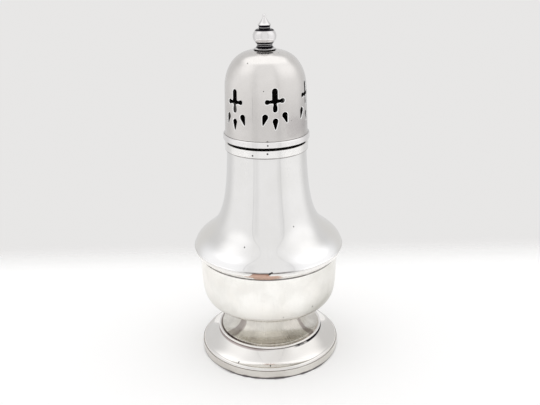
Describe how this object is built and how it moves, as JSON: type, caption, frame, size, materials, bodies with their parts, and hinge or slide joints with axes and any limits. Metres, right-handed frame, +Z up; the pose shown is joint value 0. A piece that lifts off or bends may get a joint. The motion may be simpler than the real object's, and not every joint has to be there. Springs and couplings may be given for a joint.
{
  "type": "pepper caster",
  "caption": "Silver-plated pepper caster: baluster body on a spreading foot, with a pierced domed cover and ball finial that pull off to fill it.",
  "frame": {"origin": "centre of the foot's underside, on the surface that the caster stands on", "axes": "+Z up along the axis of the caster, -Y towards the side seen in the picture, +X to that view's right"},
  "size_m": [0.0548, 0.0548, 0.1248],
  "materials": {
    "foot_plate": "polished silver plate, slightly tarnished",
    "body_plate": "polished silver plate with fine hairline wear",
    "girdle_plate": "worn silver plate with copper showing through on the high edge",
    "cover_plate": "polished silver plate with small pits",
    "cast_plate": "polished cast metal, plated, dark in the grooves"
  },
  "bodies": {
    "base": {"foot_rim": "foot_plate", "foot_dome": "foot_plate", "foot_ring": "foot_plate", "foot_stem": "foot_plate", "lower_body": "body_plate", "girdle": "girdle_plate", "upper_body": "body_plate", "neck_collar": "body_plate"},
    "cover": {"cover_bezel": "cover_plate", "cover_rim": "cover_plate", "cover_dome": "cover_plate", "finial_seat": "cast_plate", "finial": "cast_plate"}
  },
  "joints": [
    {"name": "cover_lift", "type": "slide", "parent": "base", "child": "cover", "axis": [0, 0, 1], "range_m": [0, 0.03]}
  ]
}
